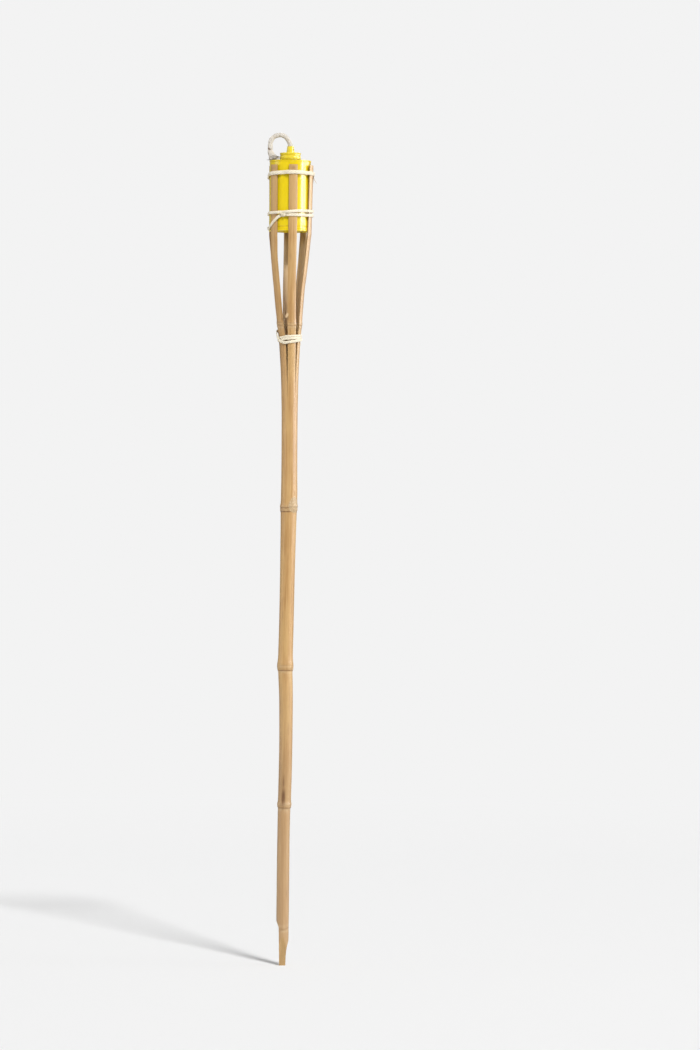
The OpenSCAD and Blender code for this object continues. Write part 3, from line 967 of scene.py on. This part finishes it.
def over_head(az, z):
    """Distance of a cord's centre from the axis: over a splint's face, or straight across a gap."""
    away = nearest_splint(az)
    lean = max(row[3] * on_curve(LEAN_OUT, z) * (1 - smooth((abs(turn_between(az, row[1])) - 20) / 15))
               for row in SPLINTS.values())
    face = cage_r(z) + lean + CORD_T / 2 + 0.2
    return max(face - 0.3 * smooth((away - 3) / 8) - 3.4 * smooth((away - 13) / 12), CAN_R + CORD_T / 2 + 0.3)


def over_bundle(z):
    return cage_r(z) + CORD_T / 2 + 0.3


# One cord twice round the head, level and then slanting: azimuth, height, lift over itself
MIDDLE_WRAP = ((-15, 1094.1, 0), (68, 1094.1, 0), (141, 1094.5, 0), (184, 1095.5, 0), (246, 1096.7, 0),
               (315, 1097.3, 0.2), (330, 1097.5, 0.8), (345, 1097.8, 1.2), (360, 1098.5, 1),
               (376, 1099.5, 0.2), (405, 1100.3, 0), (428, 1100.5, 0), (465, 1100.1, 0), (484, 1099.3, 0.5),
               (501, 1097.9, 1.1), (522, 1094.5, 1.2), (538, 1091, 0.8), (552, 1088.5, 0), (575, 1082.5, 0),
               (606, 1076.5, 0), (635, 1074.6, 0), (651, 1074.8, 0), (666, 1078, 0), (675, 1082.7, 0),
               (684, 1087.4, 0), (696, 1092.8, 0.1), (705, 1094.1, 0.3))
MIDDLE_KNOT_AZ = -15
# The lower tie's tight turns, and the slack one that stands off on the left: azimuth, height or lift
TIGHT_TURN = ((0, 916.3), (14, 916.6), (74, 917.4), (134, 917), (180, 915), (254, 913.5), (314, 914.5),
              (360, 916.3))
SLACK_TURN = ((0, 909.8), (14, 910.4), (74, 912.8), (134, 915), (180, 920), (220, 924.5), (254, 926),
              (275, 923), (295, 916), (314, 910.5), (340, 908.6), (360, 909.8))
SLACK_LIFT = ((0, 0.1), (74, 0.1), (110, 0.8), (134, 1.2), (170, 1.1), (200, 0.3), (254, 0.3), (280, 0.6),
              (292, 1.2), (312, 1.2), (330, 0.4), (360, 0.1))
UPPER_MID_Z = 1153.1
UPPER_SLANT = 3.2
UPPER_HIGH_AZ = 15
UPPER_SHARE = 1.3
# Degrees between a cord's points, and the points of a knot
TIE_STEP = 1.2
KNOT_STEPS = 90


def lay_turn(shape, start, end, height, radius, seed, thin=1.0):
    """Adds a closed turn of cord from one azimuth to another, with the small wander of a hand-tied cord."""
    count = round((end - start) / TIE_STEP)
    azimuths = [start + (end - start) * k / count for k in range(count)]
    radii = [radius(az) for az in azimuths]
    path = []
    reach = 4
    for k, az in enumerate(azimuths):
        eased = sum(radii[(k + i) % count] for i in range(-reach, reach + 1)) / (2 * reach + 1)
        z = height(az) + 0.22 * noise_at(az / 18, seed, 0.2) * min(1, k / 20, (count - k) / 20)
        path.append(bowed(az, max(eased, radii[k] - 0.1), z))
    add_cord(shape, path, [polar(az, 1) for az in azimuths], CORD_H * thin, CORD_T, closed=True)


def add_knot(shape, az, r, z, size, tails):
    """Overhand knot with cut tails, each a route of places from its middle: sideways, outward, upward."""
    out = polar(az, 1)
    side = out.cross(UP) * -1
    middle = bowed(az, r, z)
    path = []
    for k in range(KNOT_STEPS):
        t = 2 * pi * k / KNOT_STEPS
        path.append(middle + side * (sin(t) + 2 * sin(2 * t)) * size
                    + UP * (cos(t) - 2 * cos(2 * t)) * size * 0.8 - out * sin(3 * t) * 1.1)
    add_cord(shape, path, [out] * len(path), 2.7, 2.2, lay=6, closed=True, sides=16)
    for tail in tails:
        route = spline([middle + side * a + out * b + UP * c for a, b, c in tail], 10)
        add_cord(shape, route, [out] * len(route), 3.4, 2.2, taper=blunt_end, sides=16)
        heading = (route[-1] - route[-3]).normalized()
        strands(shape, route[-1] - heading, heading, out, 14, 2.8, 1.1, round(az))


def make_ties():
    upper = Shape()
    lay_turn(upper, 0, 360, lambda az: UPPER_MID_Z + UPPER_SLANT * cos(radians(az - UPPER_HIGH_AZ)),
             lambda az: over_head(az, UPPER_MID_Z), 1.7, UPPER_SHARE)
    add_knot(upper, 162, 33.9, 1149.5, 1.15, [[(1, 0, -1), (3, 1, -5), (4, 1.2, -10), (3.4, 0.6, -15)],
                                            [(-1, 0, -1), (-3, 1.2, -4), (-5.5, 1.4, -8), (-7, 0.8, -12)]])
    piece("upper_tie_cord", upper, "cotton_cord", "pole", "upper_tie")

    middle = Shape()
    wrap_height = [(az, z) for az, z, _ in MIDDLE_WRAP]
    wrap_lift = [(az, lift) for az, _, lift in MIDDLE_WRAP]
    lay_turn(middle, MIDDLE_KNOT_AZ, MIDDLE_KNOT_AZ + 720, lambda az: on_curve(wrap_height, az),
             lambda az: over_head(az, on_curve(wrap_height, az)) + CORD_T * on_curve(wrap_lift, az), 4.1)
    add_knot(middle, MIDDLE_KNOT_AZ, 33.6, 1095.6, 1.5, [])
    piece("middle_tie_cord", middle, "cotton_cord", "pole", "middle_tie")

    lower = Shape()
    for offset in (1.65, -1.65):
        lay_turn(lower, 0, 360, lambda az: on_curve(TIGHT_TURN, az % 360) + offset,
                 lambda az: over_bundle(on_curve(TIGHT_TURN, az % 360) + offset), 6.3 + offset, 0.8)
    lay_turn(lower, 0, 360, lambda az: on_curve(SLACK_TURN, az % 360),
             lambda az: over_bundle(on_curve(SLACK_TURN, az % 360)) + CORD_T * on_curve(SLACK_LIFT, az % 360),
             8.8, 0.9)
    add_knot(lower, 150, 18.4, 916.5, 1.0, [[(1, 0, -1), (2.5, 1, -5), (3.2, 1, -10), (2.6, 0.4, -14)],
                                            [(-1, 0, -1), (-3, 1, -3), (-5.4, 0.6, -6), (-6.5, -0.4, -10)]])
    piece("lower_tie_cord", lower, "cotton_cord", "pole", "lower_tie")


make_ties()


# ---- Canister and burner ----

CAN_SIDES = 160
SEAM_AZ = 183


def rounded(outline, radius, steps=4):
    """Closed outline of (radius, height) corners, each eased by a short curve."""
    corners = [Vector(p) for p in outline]
    eased = []
    for k, corner in enumerate(corners):
        ends = []
        for beside in (corners[k - 1], corners[(k + 1) % len(corners)]):
            gap = beside - corner
            ends.append(corner + gap.normalized() * min(radius, gap.length * 0.45))
        for i in range(steps + 1):
            t = i / steps
            eased.append(ends[0] * (1 - t) ** 2 + corner * 2 * t * (1 - t) + ends[1] * t * t)
    return eased


def dense(outline, step):
    """Closed outline with points added on its long stretches."""
    points = []
    for k, p in enumerate(outline):
        after = outline[(k + 1) % len(outline)]
        parts = max(1, ceil((after - p).length / step))
        points += [p + (after - p) * i / parts for i in range(parts)]
    return points


def raised(foot, *corners):
    """Corners of an outline whose heights are given over a foot."""
    return [(r, foot + z) for r, z in corners]


def turned(corners, ease, step, relief=None, fold=None, sides=CAN_SIDES):
    """Shape that (radius, height) corners, each eased, sweep round the axis.

    relief is added to its radius, and the other function gives how much painted shade a point gets in a
    crease or seam of the enamel.
    """
    outline = dense(rounded(corners, ease), step)
    points = []
    folds = []
    for r, z in outline:
        for j in range(sides):
            az = 360 * j / sides
            points.append(polar(az, r + (relief(az, r, z) if relief else 0), z))
            folds.append(fold(r, z) if fold else 0.0)
    return Shape().add(points, ring_faces(len(outline), sides, closed=True), fold=folds)


def panel_waves(az, r, z):
    """Faint waves of the rolled sheet, and its welded side seam at the back."""
    seam = 0.22 * smooth((2.4 - abs(turn_between(SEAM_AZ, az)) * CAN_R * pi / 180) / 0.5)
    return 0.035 * noise_round(az, 1.5, z / 45) + seam


def make_can():
    groove_z = CAN_Z + 6.2
    foot = CAN_Z + 3
    head = CAN_TOP_Z - SEAM_H
    wall = [(CAN_R - SHEET, foot), (CAN_R, foot), (CAN_R, groove_z - 1.8), (CAN_R - 0.45, groove_z),
            (CAN_R, groove_z + 1.8), (CAN_R, head), (CAN_R - SHEET, head), (CAN_R - SHEET, groove_z + 1.8),
            (CAN_R - SHEET - 0.45, groove_z), (CAN_R - SHEET, groove_z - 1.8)]
    body = turned(wall, 0.6, 6, panel_waves, lambda r, z: 0.7 * hump((z - groove_z) / 1.2))
    piece("can_wall", body, "yellow_paint", "canister", "can_body")

    base = raised(CAN_Z, (0.3, 2), (CAN_R - 10, 2), (CAN_R - 9, 1.4), (CAN_R - 4, 1.4), (CAN_R - 3, 2),
                  (CAN_R - 2, 2), (CAN_R - 1.4, 0.3), (CAN_R - 0.9, 0), (RIM_R - 0.4, 0), (RIM_R, 0.5),
                  (RIM_R, 2.6), (RIM_R - 0.4, 3), (CAN_R - SHEET - 0.4, 3), (CAN_R - 1.6, 2.6), (0.3, 2.6))
    bottom = turned(base, 0.4, 6, fold=lambda r, z: 0.5 * hump((z - foot) / 0.4))
    piece("can_base", bottom, "yellow_paint", "canister", "can_bottom")

    lip_r = RIM_R + 0.1
    shoulder = raised(CAN_TOP_Z, (NECK_BORE_R, 0.6), (15, 0.6), (20, 0.1), (26, -0.7), (CAN_R - 1.6, -1.4),
                      (CAN_R - 1.1, -0.2), (CAN_R - 0.7, 0), (lip_r - 0.3, 0), (lip_r, -0.5),
                      (lip_r, 0.5 - SEAM_H), (lip_r - 0.3, -SEAM_H), (CAN_R - SHEET - 0.4, -SEAM_H),
                      (CAN_R - 2, -2), (26, -1.3), (15, 0), (NECK_BORE_R, 0))
    top = turned(shoulder, 0.5, 4,
                 fold=lambda r, z: max(hump((z - head) / 0.35), hump((r - CAN_R + 1.9) / 0.6)))
    piece("can_shoulder", top, "yellow_paint", "canister", "can_top")


def thread_ridge(az, z, foot_z, turns):
    """Height, from 0 to 1, of a rolled thread that starts at foot_z over +X and climbs with the turn."""
    lead = (az - 90) % 360 / 360
    best = 0
    for turn in range(turns):
        best = max(best, hump((z - foot_z - PITCH * (lead + turn)) / 0.55))
    ends = smooth((z - foot_z + 0.4) / 0.8) * smooth((foot_z + PITCH * turns + 0.4 - z) / 0.8)
    return best * ends


def make_neck():
    flange_z = NECK_FOOT_Z + SHEET
    outline = [(NECK_BORE_R, NECK_FOOT_Z), (NECK_FLANGE_R, NECK_FOOT_Z), (NECK_FLANGE_R, flange_z),
               (NECK_R, flange_z), (NECK_R, NECK_TOP_Z), (NECK_BORE_R, NECK_TOP_Z)]

    def relief(az, r, z):
        return 0.8 * thread_ridge(az, z, NECK_FOOT_Z + 2.6, 2) if z > flange_z + 0.2 else 0

    neck = turned(outline, 0.2, 0.3, relief, lambda r, z: hump((z - flange_z) / 0.4), 120)
    piece("neck_shell", neck, "yellow_paint", "canister", "filler_neck")


def make_gasket():
    foot = low("cap_gasket").z
    head = high("cap_gasket").z
    outer = high("cap_gasket").x
    outline = [(8, foot), (9.3, foot), (9.5, foot + 0.15), (11, foot + 0.15), (11.2, foot), (outer, foot),
               (outer, head), (8, head)]
    seal = turned(outline, 0.25, 0.8, lambda az, r, z: 0.04 * noise_at(az / 12, r / 3, z), sides=96)
    piece("gasket_ring", seal, "gasket_rubber", "cap_seal", "cap_gasket")


KNURLS = 64


def make_cap():
    """Screw cap: a thin lip, a plain band, a rolled groove and a knurled bead over its foot."""
    foot = CAP_FOOT_Z
    groove_r = CAP_R - 0.95
    outline = ([(TUBE_R + 0.1, CAP_PLATE_Z), (CAP_INNER_R, CAP_PLATE_Z)]
               + raised(foot, (CAP_INNER_R, 0), (CAP_R - 0.2, 0), (CAP_R, 0.4), (CAP_R - 0.5, 1.3),
                        (CAP_R - 0.15, 2), (CAP_R - 0.15, 3.9), (groove_r, 4.7), (groove_r, 5.6),
                        (CAP_R - 0.4, 6.5))
               + raised(CAP_TOP_Z, (CAP_R - 0.4, -1.6), (CAP_R, -1.1), (CAP_R, -0.5), (CAP_R - 0.6, 0),
                        (7.5, 0), (7, -0.15), (TUBE_R + 0.1, -0.15)))

    def relief(az, r, z):
        if r < CAP_INNER_R + 0.02:
            threaded = z < CAP_PLATE_Z - 0.2 and r > CAP_INNER_R - 0.1
            return -0.8 * thread_ridge(az, z, foot + 2.35, 2) if threaded else 0
        ribbed = smooth((z - foot - 1.5) / 0.5) * (1 - smooth((z - foot - 4.1) / 0.4))
        return 0.16 * ribbed * (cos(radians(az) * KNURLS) - 1) / 2

    cap = turned(outline, 0.35, 0.5, relief,
                 lambda r, z: hump((z - foot - 5.1) / 0.5) if r > CAP_INNER_R + 0.1 else 0.0, 384)
    piece("cap_shell", cap, "yellow_paint", "burner", "burner_cap")


SLOT_AZ = 55
SLOT_W = 1.6
SLOT_FOOT = 1.6
SLOT_H = 4.6


def make_mouthpiece():
    """Conical wick tube with a rolled lip, a crimped foot, and a slot that shows the wick."""
    bore = WICK_D / 2 + 0.15
    outline = (raised(CAP_PLATE_Z, (bore, -5), (TUBE_R, -5), (TUBE_R, -0.6), (6.4, -0.6), (6.4, 0),
                      (TUBE_R, 0))
               + raised(CAP_TOP_Z, (TUBE_R, 0), (6.1, 0), (5.8, 0.7), (5.6, 2))
               + raised(MOUTH_Z, (MOUTH_R, -1), (MOUTH_R + 0.15, 0), (bore, 0)))
    tube = turned(outline, 0.3, 1, fold=lambda r, z: hump((z - CAP_TOP_Z - 0.2) / 0.35), sides=96)
    made = piece("mouthpiece", tube, "yellow_paint", "burner", "wick_tube")
    cutter = Shape()
    foot = CAP_TOP_Z + SLOT_FOOT
    out = polar(SLOT_AZ, 1)
    across = polar(SLOT_AZ + 90, 1)
    for distance in (2, 8):
        for k in range(24):
            turn = 2 * pi * k / 24
            rise = sin(turn) * SLOT_W / 2 + (SLOT_H - SLOT_W) / 2 * (1 if sin(turn) > 0 else -1)
            aside = across * cos(turn) * SLOT_W / 2
            cutter.points.append(out * distance + aside + Vector((0, 0, foot + SLOT_H / 2 + rise)))
    cutter.faces = ring_faces(2, 24)
    tool = piece("slot_cutter", cutter, "yellow_paint", "burner")
    cut = made.modifiers.new("slot", "BOOLEAN")
    cut.object = tool
    cut.operation = "DIFFERENCE"
    bpy.context.view_layer.update()
    shown = made.evaluated_get(bpy.context.evaluated_depsgraph_get())
    made.data = bpy.data.meshes.new_from_object(shown)
    made.modifiers.clear()
    bpy.data.objects.remove(tool)


make_can()
make_neck()
make_gasket()
make_cap()
make_mouthpiece()


# ---- Studio ----

STUDIO_GREY = 0.896
AMBIENT = 0.32
FLOOR_ALBEDO = 0.825
# Soft suns: azimuth, height above the horizon, strength, angle across
SUNS = {
    "key": (19, 41, 2.95, 8),
    "right_fill": (82, 12, 1.55, 30),
    "left_fill": (-82, 12, 0.85, 30),
}
SUN_DISTANCE = 3
# Softboxes seen only as reflections: azimuth, width, strength
PANELS = {"strip": (71, 0.3, 24), "reflector": (103, 1.2, 32)}
# How tall they are, where they stand and how high they are aimed, in metres
PANEL_H = 0.9
PANEL_DISTANCE = 1.6
PANEL_Z = 1.25
PANEL_AIM_Z = 1.15
DOME_R = 14
FLOOR_REACH = 6
# Distances from the object, in metres, between which the floor gives way to the studio's grey
FLOOR_FADE = (2.2, 4.5)
FLOOR_FLECK = 0.72


def make_floor():
    """Seamless floor: lit near the object, and blending into the studio's even grey further out."""
    data = bpy.data.meshes.new("floor")
    corners = ((-1, -1), (1, -1), (1, 1), (-1, 1))
    data.from_pydata([(x * FLOOR_REACH, y * FLOOR_REACH, 0) for x, y in corners], [], [(0, 1, 2, 3)])
    obj = linked("floor", data)
    m = Recipe("seamless_paper", Roughness=0.9, Specular_IOR_Level=0.1)
    place = m.place()
    distance = m.node("VectorMath", {0: place}, operation="LENGTH").outputs["Value"]
    m.finish(m.tint((FLOOR_ALBEDO,) * 3, (FLOOR_FLECK,) * 3, m.noise(place, 0.004, 3), 0.3, 0.7, 0.03))
    faded = {0: m.window(distance, *FLOOR_FADE), 1: m.shader.outputs[0], 2: m.glow(STUDIO_GREY)}
    m.show(m.node("MixShader", faded).outputs[0])
    data.materials.append(m.material)


def make_dome():
    """Even grey backdrop all round, seen by the camera and lighting nothing."""
    mesh = bmesh.new()
    bmesh.ops.create_icosphere(mesh, subdivisions=4, radius=DOME_R)
    data = bpy.data.meshes.new("backdrop")
    mesh.to_mesh(data)
    mesh.free()
    obj = linked("backdrop", data)
    m = Recipe("backdrop_paper")
    m.show(m.glow(STUDIO_GREY))
    data.materials.append(m.material)
    obj.visible_diffuse = False
    obj.visible_glossy = False
    obj.visible_transmission = False
    obj.visible_shadow = False


def add_lamp(name, kind, place, at, **settings):
    """Light of a kind at a place, pointed at another."""
    data = bpy.data.lights.new(name, kind)
    for key, value in settings.items():
        setattr(data, key, value)
    obj = linked(name, data)
    obj.location = place
    obj.rotation_euler = (Vector(at) - obj.location).to_track_quat("-Z", "Y").to_euler()
    return obj


def make_lights():
    world = bpy.data.worlds.new("studio")
    world.use_nodes = True
    world.node_tree.nodes["Background"].inputs["Color"].default_value = (AMBIENT,) * 3 + (1,)
    bpy.context.scene.world = world
    bpy.context.scene.view_settings.view_transform = "Standard"
    for name, (az, rise, strength, across) in SUNS.items():
        up = radians(rise)
        place = polar(az, SUN_DISTANCE * cos(up), SUN_DISTANCE * sin(up))
        add_lamp(name, "SUN", place, (0, 0, 0), energy=strength, angle=radians(across))
    for name, (az, width, strength) in PANELS.items():
        panel = add_lamp(name, "AREA", polar(az, PANEL_DISTANCE, PANEL_Z), (0, 0, PANEL_AIM_Z),
                         shape="RECTANGLE", size=width, size_y=PANEL_H, energy=strength)
        panel.visible_diffuse = False


make_floor()
make_dome()
make_lights()
